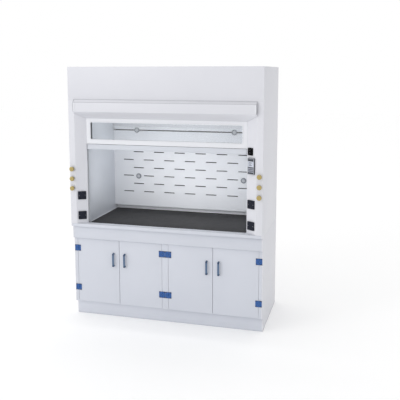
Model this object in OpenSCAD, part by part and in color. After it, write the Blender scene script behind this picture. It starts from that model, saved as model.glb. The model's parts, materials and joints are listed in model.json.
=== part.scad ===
// Walk-up fume hood of welded polypropylene board: a base cabinet with four doors, a black work
// surface, and an upper body with a counterbalanced vertical sash, slotted baffles and a duct collar.
// Millimetres, +Z up, +Y towards the back wall, origin on the floor under the middle of the body.
// Inside the modules y is measured from the front of the posts; on_floor() moves it to the origin.

/* [Overall] */
// Overall width
hood_w = 1800; // [1500:10:2160]
// Depth of the body, from the front of the posts to the back
hood_d = 850; // [708:1:1020]
// Overall height
hood_h = 2350; // [1958:1:2820]
// Height of the work surface above the floor
worktop_h = 903; // [752:1:1084]

/* [Boards] */
// Thickness of the outer casing boards
casing_t = 10; // [8:1:12]
// Thickness of the chamber liner, baffles, ceiling and window panel
liner_t = 8; // [6:1:10]
// Thickness of the cabinet boards that carry the work surface
cabinet_t = 18; // [15:1:22]
// Thickness of the work surface
worktop_t = 22; // [18:1:27]
// How far the upper body reaches down past the work surface's underside
sill_drop = 6; // [4:1:10]
// How far the white sill reaches back past the posts to the work surface
sill_margin = 7.4; // [6:0.2:9]

/* [Posts and header] */
// Width of the flat outer strip of each post, which carries the valves
post_flat_w = 58; // [52:1:70]
// Width of the bevelled inner strip, seen from the front
post_bevel_w = 91; // [80:1:110]
// Depth of that bevel
post_bevel_d = 54; // [45:0.2:65]
// How far the header lip stands in front of the posts
lip_reach = 24; // [16:1:30]
// Height of the sloping top of the lip
lip_top_h = 25; // [15:1:30]
// Height of the flat front face of the lip
lip_face_h = 85; // [70:1:102]
// Height of the sloping underside of the lip
lip_slope_h = 65; // [54:1:78]

/* [Fixed window] */
// Height of the window panel between the sash handle and the lip
window_panel_h = 233; // [210:1:280]
// Width of the panel beside the glass
window_border = 38; // [30:1:46]
// Height of the panel under the glass
window_foot = 39; // [32:1:46]
// Height of the visible glass
window_glass_h = 163; // [136:1:165]
// Corner radius of the window
window_r = 14; // [6:1:20]
// How far each pane overlaps its frame
pane_lap = 12; // [8:1:15]
// Thickness of every pane
glass_t = 5; // [4:1:6]

/* [Sash] */
// Thickness of the sash frame
sash_t = 22; // [18:1:24]
// Width of the sash stiles
sash_stile = 58; // [50:1:70]
// Height of the top and bottom rails
sash_rail = 48; // [40:1:58]
// How far the sash handle stands in front of the sash
handle_reach = 16; // [13:1:16]
// Air gap left under the closed sash
sash_gap = 20; // [15:1:30]
// How far the closed sash reaches up behind the window panel
sash_lap = 12; // [8:1:20]
// How far the sash runs into the tracks behind the posts
track_bite = 18; // [15:1:22]
// Thickness of the track's walls
track_t = 2.6; // [2:0.1:3]

/* [Suspension] */
// Groove radius of the pulleys, to the middle of the cable
pulley_r = 26; // [21:0.1:32]
// Radius of the wire rope
cable_r = 1.5; // [1:0.5:2]
// Height of each counterweight
weight_h = 400; // [334:1:480]
// Front-to-back depth of each counterweight
weight_d = 120; // [100:1:144]
// Distance between the front and rear pulley axles
pulley_span = 293; // [244:1:352]

/* [Base cabinet] */
// Height of the plinth
plinth_h = 132; // [110:1:158]
// How far the plinth stands back from the posts
plinth_back = 96; // [85:1:115]
// How far the doors stand back from the posts
door_back = 56; // [46:0.2:68]
// How far the apron stands back from the posts
apron_back = 32; // [27:1:38]
// Height of the apron over the doors
apron_h = 124; // [103:1:149]
// Thickness of the doors
door_t = 18; // [15:1:20]
// Width of the frame outside each outer door
stile_w = 34; // [32:1:42]
// Half width of the middle stile
mid_stile = 30; // [30:1:36]
// Gap around the doors
door_gap = 3; // [2:0.5:4]

/* [Door fittings] */
// Side of each square hinge
hinge_s = 58; // [50:1:60]
// Height of the lower hinges' middle above the doors' bottom
hinge_low = 136; // [113:1:163]
// Depth of the upper hinges' middle below the doors' top
hinge_high = 99; // [82:1:119]
// Length of the door handles
pull_l = 130; // [108:1:156]
// Width of the door handles
pull_w = 20; // [17:1:24]
// How far the handles stand out of the doors
pull_reach = 25; // [22:1:31]
// Distance of the handles from the seam between two doors
pull_inset = 55; // [46:1:66]
// Depth of the handles' middle below the doors' top
pull_drop = 193; // [160:1:232]

/* [Baffles] */
// Depth of the space behind the lower baffle
plenum_d = 47; // [39:1:56]
// Depth of the service space behind the chamber
service_d = 77; // [64:1:92]
// Height of the chamber ceiling below the roof
attic_h = 232; // [193:1:278]
// Height of the opening under the lower baffle
baffle_gap = 44; // [36:1:53]
// Height of the gap between the two baffles
baffle_slit = 12; // [11:1:15]
// Height of the upper baffle's foot below the ceiling
upper_drop = 379; // [316:1:455]
// Slope of the upper baffle from the vertical
upper_lean = 36; // [30:1:40]
// Height of the gap over the upper baffle
upper_gap = 40; // [33:1:48]
// Length of the baffle slots
slot_l = 109; // [91:1:130]
// Height of the baffle slots
slot_h = 9; // [7:1:11]
// Sideways spacing of the slots
slot_pitch = 217; // [181:1:260]
// Spacing of the slot rows
row_pitch = 81.5; // [68:0.5:98]
// Radius of the baffle's fixing buttons
button_r = 27; // [22:1:32]

/* [Services] */
// Inner radius of the exhaust collar
collar_r = 125; // [104:1:130]
// Spacing of the valves
valve_pitch = 90; // [75:1:108]
// Height of the middle valve above the work surface
valve_mid = 425; // [354:1:510]
// Radius of the valve knobs
knob_r = 22.5; // [19:0.5:25]
// How far the knobs stand in front of the posts
knob_reach = 30; // [27:1:40]
// Side of the square socket plates
socket_s = 75; // [62:1:90]
// Height of the lower sockets above the work surface
socket_low = 77; // [64:1:92]
// Spacing of the two sockets on a post
socket_pitch = 188; // [157:1:225]
// Width of the control panel
panel_w = 72; // [60:1:86]
// Height of the control panel
panel_h = 142; // [118:1:160]
// Height of the control panel's middle above the work surface
panel_mid = 600; // [560:1:620]
// Height of the switch plate above the control panel
switch_gap = 22; // [16:1:30]
// Width of the lamp
lamp_w = 1200; // [900:10:1400]

/* [Hidden] */
$fn = 48;

// Colours
white_board = [0.89, 0.9, 0.93];
liner_grey = [0.78, 0.81, 0.85];
charcoal = [0.2, 0.21, 0.23];
hinge_blue = [0.13, 0.31, 0.6];
brass_gold = [0.78, 0.66, 0.33];
navy_black = [0.09, 0.11, 0.16];
steel_grey = [0.62, 0.64, 0.67];
glass_tint = [0.6, 0.68, 0.72, 0.5];

// Main planes: half width, inner faces of the sides, edges of the posts
half_w = hood_w / 2;
side_x = half_w - casing_t;
edge_x = half_w - post_flat_w;
open_x = edge_x - post_bevel_w;
bevel_angle = atan2(post_bevel_d, post_bevel_w);
post_back_y = post_bevel_d + casing_t / cos(bevel_angle);
sill_d = post_back_y + sill_margin;
back_y = hood_d - casing_t;
chamber_y = back_y - service_d - liner_t;
baffle_y = chamber_y - plenum_d - liner_t;
roof_z = hood_h - casing_t;
ceiling_z = roof_z - attic_h;
worktop_z = worktop_h - worktop_t;
body_z = worktop_z - sill_drop;
door_z0 = plinth_h;
door_z1 = worktop_z - apron_h;

// Sash: it rises as far as the roof allows, and closed it still laps behind the window panel
roof_clear = 4;
panel_clear = 3;
opening_h = (roof_z - roof_clear - worktop_h - sash_rail - panel_clear - sash_lap + sash_gap) / 2;
sash_travel = opening_h - sash_gap;
sash_h = sash_travel + sash_rail + panel_clear + sash_lap;
sash_z = worktop_h + opening_h;
window_z = sash_z + sash_rail + panel_clear;
lip_z = window_z + window_panel_h;
header_z = lip_z + lip_slope_h + lip_face_h + lip_top_h;

// Tracks: a channel behind each post, with the cable beside the sash's edge
slide_clear = 1;
track_y = post_back_y + 0.4;
sash_y = track_y + track_t + slide_clear;
sash_back_y = sash_y + sash_t;
liner_y = sash_back_y + slide_clear + track_t;
sash_x = open_x + track_bite;
cable_x = sash_x + 7;
cable_y = sash_y + sash_t / 2;
track_x = sash_x + 14;
pulley_z = roof_z - pulley_r - 12;
track_top_z = pulley_z - pulley_r - 14;
front_axle_y = cable_y + pulley_r;
rear_axle_y = front_axle_y + pulley_span;
weight_y = rear_axle_y + pulley_r;
weight_z = worktop_h + 22;
anchor_h = 20;
axle_r = 4;
run_clear = 0.05;
pulley_w = 9;
pulley_rim = 4;
bracket_x = cable_x + pulley_w / 2 + 3;
bracket_t = 4;

// Doors
door_h = door_z1 - door_z0 - 2 * door_gap;
stile_x = half_w - stile_w;
door_w = (stile_x - mid_stile) / 2 - door_gap;
knuckle_r = 4;
pin_r = 2;
leaf_t = 2.5;
leaf_slack = 0.6;
knuckle_gap = 0.3;
pivot_y = door_back - knuckle_r;
pull_t = 9;
pull_post_r = 7;
hinge_levels = [door_z0 + door_gap + hinge_low, door_z1 - door_gap - hinge_high];

// Baffles
baffle_z = worktop_h + baffle_gap;
upper_z = ceiling_z - upper_drop;
slit_z = upper_z - baffle_slit / 2;
baffle_h = upper_z - baffle_slit - baffle_z;
row_margin = 148;
row_headroom = 212;
slot_margin = 60;
slot_rows = floor((baffle_h - row_margin - row_headroom) / row_pitch) + 1;
slots = floor((2 * open_x - slot_pitch / 2 - slot_l - 2 * slot_margin) / slot_pitch) + 1;
button_row_x = [
  -slot_pitch / 4 - slot_pitch * (slots / 2 - 1),
  -slot_pitch / 4 + slot_pitch * slots / 2
];
button_row_z = baffle_z + row_margin + row_pitch * floor(slot_rows / 3) - 4;
button_inset = 249;
upper_rise = upper_drop - upper_gap;
upper_top_y = baffle_y - upper_rise * tan(upper_lean);
collar_y = (upper_top_y + chamber_y) / 2;
collar_t = 4;

// Valves, each [side, height]: three on the left post, three on the right
valve_x = edge_x + post_flat_w / 2;
valve_sites = [for (side = [-1, 1]) for (k = [1, 0, -1]) [side, worktop_h + valve_mid + k * valve_pitch]];
spindle_r = 4;
plate_r = 17;
plate_t = 5;
knob_gap = 3;
grip_t = 15;
flutes = 12;
flute_r = 2.6;

// Lamp, a tray with its tube
lamp_d = 90;
lamp_h = 50;
lamp_t = 6;
tube_r = 13;
lamp_y = liner_y + 60;

// Sockets, controller and power switch on the posts' bevels
socket_t = 9;
well_r = 20;
well_floor = 2.5;
pin_hole_r = 2.5;
pin_hole_x = 9.5;
panel_t = 14;
screen_h = 46;
screen_lift = 18;
screen_rim = 6;
screen_depth = 3;
screen_t = 2;
switch_w = 53;
switch_h = 64;
switch_t = 8;
switch_shift = -13;
switch_z = worktop_h + panel_mid + panel_h / 2 + switch_gap + switch_h / 2;
rocker_w = 26;
rocker_h = 34;
rocker_pin_y = -4;
rocker_pin_r = 1.5;

// Baffle buttons: head, shank and the collar behind the baffle
button_head_t = 7;
shank_r = 5;
shank_collar_r = 10;

// ---- helpers ----

// From the working frame, whose y starts at the posts' front, to the part's own frame
module on_floor() {
  translate([0, -hood_d / 2, 0]) children();
}

// A board between two corners
module board(a, b) {
  translate(a) cube(b - a);
}

// The same piece on the left and on the right
module both_sides() {
  for (side = [0, 1]) mirror([side, 0, 0]) children();
}

// A rectangle with round corners, centred
module round_rect(w, h, r) {
  square([w - 2 * r, h], center = true);
  square([w, h - 2 * r], center = true);
  for (x = [-1, 1], y = [-1, 1]) translate([x * (w / 2 - r), y * (h / 2 - r)]) circle(r);
}

// A flat outline in x and z, thickened from y0 to y1
module upright(y0, y1) {
  translate([0, y1, 0]) rotate([90, 0, 0]) linear_extrude(y1 - y0) children();
}

// A section in y and z, drawn out along x from -w to w
module along_x(w) {
  translate([-w, 0, 0]) rotate([90, 0, 90]) linear_extrude(2 * w) children();
}

// A round bar along y
module y_bar(x, z, r, y0, y1) {
  translate([x, y1, z]) rotate([90, 0, 0]) cylinder(r = r, h = y1 - y0);
}

// Places children on a post's bevel at height z, with x along the bevel and -y out of it
module on_bevel(side, z, shift = 0) {
  mirror([side < 0 ? 1 : 0, 0, 0])
    translate([edge_x - post_bevel_w / 2, post_bevel_d / 2, z])
      rotate([0, 0, -bevel_angle]) translate([shift, 0, 0]) children();
}

// ---- base cabinet ----

// Front board of the plinth, and a rib under the middle of the cabinet floor
module plinth() on_floor() color(white_board) {
  board([-side_x, plinth_back, 0], [side_x, plinth_back + cabinet_t, plinth_h]);
  board([-cabinet_t / 2, plinth_back + cabinet_t, 0], [cabinet_t / 2, back_y, plinth_h]);
}

module cabinet_floor() on_floor() color(white_board)
  board([-side_x, door_back + cabinet_t + 2, plinth_h], [side_x, back_y, plinth_h + cabinet_t]);

// Side boards, cut back for the toe space and forward to the apron at the top
module cabinet_sides() on_floor() color(white_board) both_sides()
  translate([side_x, 0, 0]) rotate([90, 0, 90]) linear_extrude(casing_t)
    polygon([
      [plinth_back, 0], [hood_d, 0], [hood_d, body_z], [apron_back, body_z],
      [apron_back, door_z1], [door_back, door_z1], [door_back, plinth_h], [plinth_back, plinth_h]
    ]);

module cabinet_back() on_floor() color(white_board)
  board([-side_x, back_y, 0], [side_x, hood_d, body_z]);

module cabinet_partition() on_floor() color(white_board)
  board(
    [-cabinet_t / 2, door_back + cabinet_t + 2, plinth_h + cabinet_t],
    [cabinet_t / 2, back_y, worktop_z]
  );

// Two outer stiles and one middle stile, level with the doors' front
module cabinet_stiles() on_floor() color(white_board) {
  both_sides() board([stile_x, door_back, plinth_h], [side_x, door_back + cabinet_t, door_z1]);
  board([-mid_stile, door_back, plinth_h], [mid_stile, door_back + cabinet_t, door_z1]);
}

module apron() on_floor() color(white_board) {
  board([-side_x, apron_back, door_z1], [side_x, apron_back + cabinet_t, worktop_z]);
  board([-side_x, apron_back + cabinet_t, door_z1], [side_x, door_back + cabinet_t, door_z1 + cabinet_t]);
}

module worktop() on_floor() color(charcoal)
  board([-side_x, sill_d, worktop_z], [side_x, chamber_y + liner_t, worktop_h]);

// The white sill carries the posts and has a drip edge along its front
module front_sill() on_floor() color(white_board) along_x(side_x)
  polygon([
    [0, body_z + 2], [2, body_z], [casing_t, body_z], [casing_t, worktop_z],
    [sill_d, worktop_z], [sill_d, worktop_h], [2, worktop_h], [0, worktop_h - 2]
  ]);

// ---- upper body ----

module hood_sides() on_floor() color(white_board) both_sides()
  translate([side_x, 0, 0]) rotate([90, 0, 90]) linear_extrude(casing_t)
    polygon([
      [sill_drop, body_z], [hood_d, body_z], [hood_d, hood_h], [casing_t, hood_h],
      [casing_t, worktop_h], [0, worktop_h], [0, body_z + sill_drop]
    ]);

module hood_back() on_floor() color(white_board)
  board([-side_x, back_y, body_z], [side_x, hood_d, hood_h]);

module hood_top() on_floor() color(white_board) difference() {
  board([-side_x, casing_t, roof_z], [side_x, back_y, hood_h]);
  translate([0, collar_y, roof_z - 1]) cylinder(r = collar_r + collar_t, h = casing_t + 2);
}

module header_panel() on_floor() color(white_board)
  board([-half_w, 0, header_z], [half_w, casing_t, hood_h]);

// Folded lip: its ends are mitred to the bevels of the posts
module header_lip() on_floor() color(white_board) intersection() {
  face_z1 = header_z - lip_top_h;
  face_z0 = face_z1 - lip_face_h;
  slope = atan2(lip_slope_h, post_bevel_d + lip_reach);
  skin = liner_t / cos(slope);
  inner_y = -lip_reach + liner_t;
  along_x(edge_x)
    polygon([
      [0, header_z], [-lip_reach, face_z1], [-lip_reach, face_z0], [post_bevel_d, lip_z],
      [post_bevel_d + liner_t, lip_z], [post_bevel_d + liner_t, lip_z + skin - liner_t * tan(slope)],
      [inner_y, face_z0 + skin - liner_t * tan(slope)], [inner_y, face_z1 - 4], [casing_t, header_z]
    ]);
  translate([0, 0, lip_z - 1]) linear_extrude(header_z - lip_z + 2)
    polygon([
      [-edge_x, -2 * lip_reach], [edge_x, -2 * lip_reach], [edge_x, 0], [open_x, post_bevel_d],
      [open_x, post_back_y], [-open_x, post_back_y], [-open_x, post_bevel_d], [-edge_x, 0]
    ]);
}

// Folded post: a flat strip for the valves and a bevel that turns in to the opening
module post() {
  inner_x = edge_x + casing_t * tan(bevel_angle / 2);
  translate([0, 0, worktop_h]) linear_extrude(header_z - worktop_h)
    polygon([
      [half_w, 0], [edge_x, 0], [open_x, post_bevel_d], [open_x, post_back_y],
      [inner_x, casing_t], [half_w, casing_t]
    ]);
}

module post_left() on_floor() color(white_board) mirror([1, 0, 0]) post();

module post_right() on_floor() color(white_board) post();

// ---- chamber ----

module chamber_sides() on_floor() color(liner_grey) both_sides()
  board([open_x, liner_y, worktop_h], [open_x + liner_t, chamber_y, ceiling_z]);

module chamber_back() on_floor() color(liner_grey)
  board([-open_x - liner_t, chamber_y, worktop_h], [open_x + liner_t, chamber_y + liner_t, ceiling_z]);

module chamber_ceiling() on_floor() color(liner_grey) difference() {
  board(
    [-open_x - liner_t, liner_y, ceiling_z],
    [open_x + liner_t, chamber_y + liner_t, ceiling_z + liner_t]
  );
  translate([0, collar_y, ceiling_z - 1]) cylinder(r = collar_r + collar_t, h = liner_t + 2);
}

// Rows of slots, every second row shifted by half a pitch
module lower_baffle() on_floor() color(liner_grey) difference() {
  board([-open_x, baffle_y, baffle_z], [open_x, baffle_y + liner_t, baffle_z + baffle_h]);
  for (row = [0:slot_rows - 1], k = [0:slots - 1])
    translate([
      (row % 2 == 0 ? -1 : 1) * slot_pitch / 4 + slot_pitch * (k - (slots - 1) / 2),
      0, baffle_z + row_margin + row * row_pitch
    ]) upright(baffle_y - 1, baffle_y + liner_t + 1) round_rect(slot_l, slot_h, slot_h / 2 - 0.01);
  for (x = button_row_x) y_bar(x, button_row_z, shank_r, baffle_y - 1, baffle_y + liner_t + 1);
}

// The upper baffle leans forward and leaves a gap under the ceiling
module upper_baffle() on_floor() color(liner_grey) {
  foot = button_r + 1;
  skin = liner_t / cos(upper_lean);
  top_z = upper_z + upper_rise;
  along_x(open_x)
    polygon([
      [baffle_y, upper_z], [baffle_y + liner_t, upper_z], [baffle_y + liner_t, upper_z + foot],
      [upper_top_y + skin, top_z], [upper_top_y, top_z], [baffle_y, upper_z + foot]
    ]);
}

// Headed spacers: the shank runs back to the chamber's back board, the collar holds the baffle off it
module baffle_button(x, z) {
  y_bar(x, z, button_r, baffle_y - button_head_t, baffle_y);
  y_bar(x, z, shank_r, baffle_y - 1, chamber_y);
  y_bar(x, z, shank_collar_r, baffle_y + liner_t, chamber_y);
}

module baffle_buttons() on_floor() color([0.5, 0.52, 0.55]) {
  for (x = button_row_x) baffle_button(x, button_row_z);
  both_sides() baffle_button(open_x - button_inset, slit_z);
}

module exhaust_collar() on_floor() color(white_board)
  translate([0, collar_y, ceiling_z]) difference() {
    cylinder(r = collar_r + collar_t, h = hood_h - ceiling_z);
    translate([0, 0, -1]) cylinder(r = collar_r, h = hood_h - ceiling_z + 2);
  }

// A shallow tray under the ceiling, open below
module lamp_housing() on_floor() color(white_board) difference() {
  board([-lamp_w / 2, lamp_y, ceiling_z - lamp_h], [lamp_w / 2, lamp_y + lamp_d, ceiling_z]);
  board(
    [-lamp_w / 2 + lamp_t, lamp_y + lamp_t, ceiling_z - lamp_h - 1],
    [lamp_w / 2 - lamp_t, lamp_y + lamp_d - lamp_t, ceiling_z - lamp_t]
  );
}

module lamp_tube() on_floor() color("white")
  translate([-lamp_w / 2 + lamp_t, lamp_y + lamp_d / 2, ceiling_z - lamp_h / 2]) rotate([0, 90, 0])
    cylinder(r = tube_r, h = lamp_w - 2 * lamp_t);

// ---- fixed window ----

module window_panel() on_floor() color(white_board) difference() {
  board([-open_x, post_bevel_d, window_z], [open_x, post_bevel_d + liner_t, lip_z]);
  translate([0, 0, window_z + window_foot + window_glass_h / 2])
    upright(post_bevel_d - 1, post_bevel_d + liner_t + 1)
      round_rect(2 * (open_x - window_border), window_glass_h, window_r);
}

module window_glass() on_floor() color(glass_tint) {
  pane_w = open_x - window_border + pane_lap;
  pane_z = window_z + window_foot - pane_lap;
  board(
    [-pane_w, post_bevel_d + liner_t, pane_z],
    [pane_w, post_bevel_d + liner_t + glass_t, pane_z + window_glass_h + 2 * pane_lap]
  );
}

// ---- sash ----

// U-section channels, open towards the middle; the cable runs in the web's corner
module sash_tracks() on_floor() color(steel_grey) both_sides()
  translate([0, 0, worktop_h]) linear_extrude(track_top_z - worktop_h) difference() {
    translate([open_x + 2, track_y]) square([track_x + track_t - open_x - 2, liner_y - track_y]);
    translate([open_x, track_y + track_t]) square([track_x - open_x, liner_y - track_y - 2 * track_t]);
  }

// Frame with a lug at each lower corner, where the cable is made fast
module sash_frame() on_floor() color(white_board) {
  difference() {
    board([-sash_x, sash_y, sash_z], [sash_x, sash_back_y, sash_z + sash_h]);
    board(
      [-sash_x + sash_stile, sash_y - 1, sash_z + sash_rail],
      [sash_x - sash_stile, sash_back_y + 1, sash_z + sash_h - sash_rail]
    );
    board(
      [-sash_x + sash_stile - pane_lap, cable_y - glass_t / 2, sash_z + sash_rail - pane_lap],
      [sash_x - sash_stile + pane_lap, cable_y + glass_t / 2, sash_z + sash_h - sash_rail + pane_lap]
    );
  }
  both_sides() board([sash_x - 1, cable_y - 5, sash_z + 2], [cable_x + 5, cable_y + 5, sash_z + anchor_h]);
}

module sash_glass() on_floor() color(glass_tint)
  board(
    [-sash_x + sash_stile - pane_lap, cable_y - glass_t / 2, sash_z + sash_rail - pane_lap],
    [sash_x - sash_stile + pane_lap, cable_y + glass_t / 2, sash_z + sash_h - sash_rail + pane_lap]
  );

// Full-width handle rail with a chamfered front
module sash_handle() on_floor() color(white_board) {
  front = sash_y - handle_reach;
  along_x(open_x - 5)
    polygon([
      [sash_y, sash_z], [front + 5, sash_z], [front, sash_z + 5],
      [front, sash_z + sash_rail - 5], [front + 5, sash_z + sash_rail], [sash_y, sash_z + sash_rail]
    ]);
}

// ---- suspension ----

// A pulley with a grooved rim and a bore that runs on its axle
module pulley(axle_y) {
  groove_r = pulley_r - cable_r - 0.3;
  translate([cable_x - pulley_w / 2, axle_y, pulley_z]) rotate([0, 90, 0]) rotate_extrude()
    polygon([
      [axle_r + run_clear, 0], [pulley_r + pulley_rim, 0], [pulley_r + pulley_rim, 1],
      [groove_r, pulley_w / 2 - cable_r - 0.4], [groove_r, pulley_w / 2 + cable_r + 0.4],
      [pulley_r + pulley_rim, pulley_w - 1], [pulley_r + pulley_rim, pulley_w],
      [axle_r + run_clear, pulley_w]
    ]);
}

module front_pulleys() on_floor() color(steel_grey) both_sides() pulley(front_axle_y);

module rear_pulleys() on_floor() color(steel_grey) both_sides() pulley(rear_axle_y);

// Hangers under the roof, each with two axles
module pulley_brackets() on_floor() color(steel_grey) both_sides() {
  reach = pulley_r + 8;
  board(
    [bracket_x, front_axle_y - reach / 2, pulley_z - axle_r - 8],
    [bracket_x + bracket_t, rear_axle_y + reach / 2, roof_z]
  );
  board(
    [bracket_x, front_axle_y - reach / 2, roof_z - bracket_t],
    [bracket_x + 40, rear_axle_y + reach / 2, roof_z]
  );
  for (y = [front_axle_y, rear_axle_y])
    translate([cable_x - pulley_w / 2 - 1, y, pulley_z]) rotate([0, 90, 0]) {
      cylinder(r = axle_r, h = bracket_x - cable_x + pulley_w / 2 + 2);
      translate([0, 0, pulley_w + 1.5]) cylinder(r = axle_r + 3, h = 2.5);
    }
}

module lift_cables() on_floor() color(steel_grey) both_sides()
  translate([cable_x, cable_y, sash_z + anchor_h]) cylinder(r = cable_r, h = pulley_z - sash_z - anchor_h);

module weight_cables() on_floor() color(steel_grey) both_sides()
  translate([cable_x, weight_y, weight_z + weight_h])
    cylinder(r = cable_r, h = pulley_z - weight_z - weight_h);

// A quarter turn of cable round the front pulley, the level run, and a quarter turn at the rear
module pulley_cables() on_floor() color(steel_grey) both_sides() {
  for (end = [[front_axle_y, 90], [rear_axle_y, 0]])
    translate([cable_x, end[0], pulley_z]) rotate([90, 0, 90]) rotate([0, 0, end[1]])
      rotate_extrude(angle = 90) translate([pulley_r, 0]) circle(r = cable_r, $fn = 16);
  translate([cable_x, rear_axle_y, pulley_z + pulley_r]) rotate([90, 0, 0])
    cylinder(r = cable_r, h = pulley_span, $fn = 16);
}

// Cast bars that hang between the chamber's side and the casing
module counterweight() {
  half_t = cable_x - open_x - liner_t - 4;
  board(
    [cable_x - half_t, weight_y - weight_d / 2, weight_z],
    [cable_x + half_t, weight_y + weight_d / 2, weight_z + weight_h - 12]
  );
  translate([cable_x, weight_y, weight_z + weight_h - 13]) cylinder(r = 7, h = 13);
}

module counterweight_left() on_floor() color([0.25, 0.26, 0.27]) mirror([1, 0, 0]) counterweight();

module counterweight_right() on_floor() color([0.25, 0.26, 0.27]) counterweight();

// ---- doors ----

// Each door hangs from the left (turn 1) or from the right (turn -1) of its pivot line
door_pivots = [[-stile_x, 1], [-mid_stile, -1], [mid_stile, 1], [stile_x, -1]];

module at_pivot(i) {
  pivot = door_pivots[i];
  on_floor() translate([pivot[0], pivot_y, 0]) mirror([pivot[1] < 0 ? 1 : 0, 0, 0]) children();
}

module door(i) at_pivot(i) color(white_board)
  board(
    [door_gap / 2, knuckle_r, door_z0 + door_gap],
    [door_gap / 2 + door_w, knuckle_r + door_t, door_z1 - door_gap]
  );

// One third of the hinge is the door's knuckle, the other two are the frame's
module hinge_door_leaf(z) {
  third = hinge_s / 3;
  tongue = third / 2 - knuckle_gap;
  difference() {
    union() {
      board(
        [knuckle_r + leaf_slack, knuckle_r - leaf_t, z - hinge_s / 2],
        [hinge_s / 2, knuckle_r, z + hinge_s / 2]
      );
      board([0, knuckle_r - leaf_t, z - tongue], [hinge_s / 4, knuckle_r, z + tongue]);
      translate([0, 0, z - tongue]) cylinder(r = knuckle_r, h = 2 * tongue);
    }
    translate([0, 0, z - third / 2]) cylinder(r = pin_r + run_clear, h = third);
  }
}

module hinge_frame_leaf(z) {
  third = hinge_s / 3;
  board(
    [-hinge_s / 2, knuckle_r - leaf_t, z - hinge_s / 2],
    [-knuckle_r - leaf_slack, knuckle_r, z + hinge_s / 2]
  );
  for (foot = [z - hinge_s / 2, z + third / 2]) {
    board([-hinge_s / 4, knuckle_r - leaf_t, foot], [0, knuckle_r, foot + third]);
    translate([0, 0, foot]) cylinder(r = knuckle_r, h = third);
  }
  translate([0, 0, z - hinge_s / 2]) cylinder(r = pin_r, h = hinge_s);
}

module hinge_frame_leaves() color(hinge_blue)
  for (i = [0:3], z = hinge_levels) at_pivot(i) hinge_frame_leaf(z);

// Bow handle: a flat bar with round ends on two posts
module door_pull() {
  front = knuckle_r - pull_reach;
  translate([door_w + door_gap - pull_inset, 0, door_z1 - pull_drop]) {
    upright(front, front + pull_t) round_rect(pull_w, pull_l, pull_w / 2 - 0.01);
    for (end = [-1, 1]) y_bar(0, end * (pull_l - pull_w) / 2, pull_post_r, front + pull_t - 1, knuckle_r);
  }
}

module door_fittings(i) at_pivot(i) color(hinge_blue) {
  for (z = hinge_levels) hinge_door_leaf(z);
  door_pull();
}

module door_1() door(0);

module door_2() door(1);

module door_3() door(2);

module door_4() door(3);

module door_1_fittings() door_fittings(0);

module door_2_fittings() door_fittings(1);

module door_3_fittings() door_fittings(2);

module door_4_fittings() door_fittings(3);

// ---- services ----

// Splash-proof socket: a thick square plate with a round well and two pin holes
module socket_outlets() on_floor() color(navy_black) {
  for (side = [-1, 1], k = [0, 1]) on_bevel(side, worktop_h + socket_low + k * socket_pitch) difference() {
    upright(-socket_t, 0) round_rect(socket_s, socket_s, 5);
    y_bar(0, 0, well_r, -socket_t - 1, -well_floor);
    for (pin = [-1, 1]) y_bar(pin * pin_hole_x, 0, pin_hole_r, -socket_t, 1);
  }
}

// Housing of the hood's controller, with a recess for its screen
module control_panel() on_floor() color(charcoal) on_bevel(1, worktop_h + panel_mid) difference() {
  upright(-panel_t, 0) round_rect(panel_w, panel_h, 5);
  screen_recess(-panel_t - 1);
}

module control_screen() on_floor() color([0.62, 0.7, 0.74]) on_bevel(1, worktop_h + panel_mid)
  screen_recess(-panel_t + screen_depth - screen_t);

// The screen's rectangle, from y = front back to the floor of its recess
module screen_recess(front) {
  translate([0, 0, screen_lift]) upright(front, -panel_t + screen_depth)
    square([panel_w - 2 * screen_rim, screen_h], center = true);
}

module switch_plate() on_floor() color(navy_black) on_bevel(1, switch_z, switch_shift) {
  difference() {
    upright(-switch_t, 0) round_rect(switch_w, switch_h, 4);
    upright(-switch_t - 1, 1) square([rocker_w + 1, rocker_h + 4], center = true);
  }
  rocker_pin(rocker_pin_r);
}

// The pin across the switch's window, or with a larger radius the bore that runs on it
module rocker_pin(r) {
  translate([-rocker_w / 2 - 1, rocker_pin_y, 0]) rotate([0, 90, 0]) cylinder(r = r, h = rocker_w + 2);
}

// Rocker key: a shallow V that tips about its pin
module power_rocker() on_floor() color([0.55, 0.12, 0.1]) on_bevel(1, switch_z, switch_shift) difference() {
  translate([-rocker_w / 2, 0, 0]) rotate([90, 0, 90]) linear_extrude(rocker_w)
    polygon([
      [rocker_pin_y + 3, 0], [rocker_pin_y - 2, rocker_h / 2], [rocker_pin_y - 7, rocker_h / 2],
      [rocker_pin_y - 5, 0], [rocker_pin_y - 7, -rocker_h / 2], [rocker_pin_y - 2, -rocker_h / 2]
    ]);
  rocker_pin(rocker_pin_r + run_clear);
}

// Round escutcheons on the posts, with the valves' spindles
module valve_bodies() on_floor() color(steel_grey) for (site = valve_sites) {
  x = site[0] * valve_x;
  y_bar(x, site[1], plate_r, -plate_t, 0);
  y_bar(x, site[1], spindle_r + 4, -plate_t - knob_gap + 0.5, -plate_t + 1);
  y_bar(x, site[1], spindle_r, -knob_reach + 8, 0);
}

// Knob: round skirt, waist and fluted grip, bored to turn on the spindle
module valve_knob(i) on_floor() color(brass_gold) {
  site = valve_sites[i];
  translate([site[0] * valve_x, 0, site[1]]) difference() {
    union() {
      y_bar(0, 0, knob_r * 0.62, -knob_reach + grip_t - 1, -plate_t - knob_gap);
      y_bar(0, 0, knob_r, -knob_reach, -knob_reach + grip_t);
    }
    y_bar(0, 0, spindle_r + run_clear, -knob_reach + 7.5, 1);
    for (k = [0:flutes - 1]) rotate([0, k * 360 / flutes, 0])
      y_bar(knob_r + 1.2, 0, flute_r, -knob_reach - 1, -knob_reach + grip_t + 1);
  }
}

module valve_knob_1() valve_knob(0);

module valve_knob_2() valve_knob(1);

module valve_knob_3() valve_knob(2);

module valve_knob_4() valve_knob(3);

module valve_knob_5() valve_knob(4);

module valve_knob_6() valve_knob(5);

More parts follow.
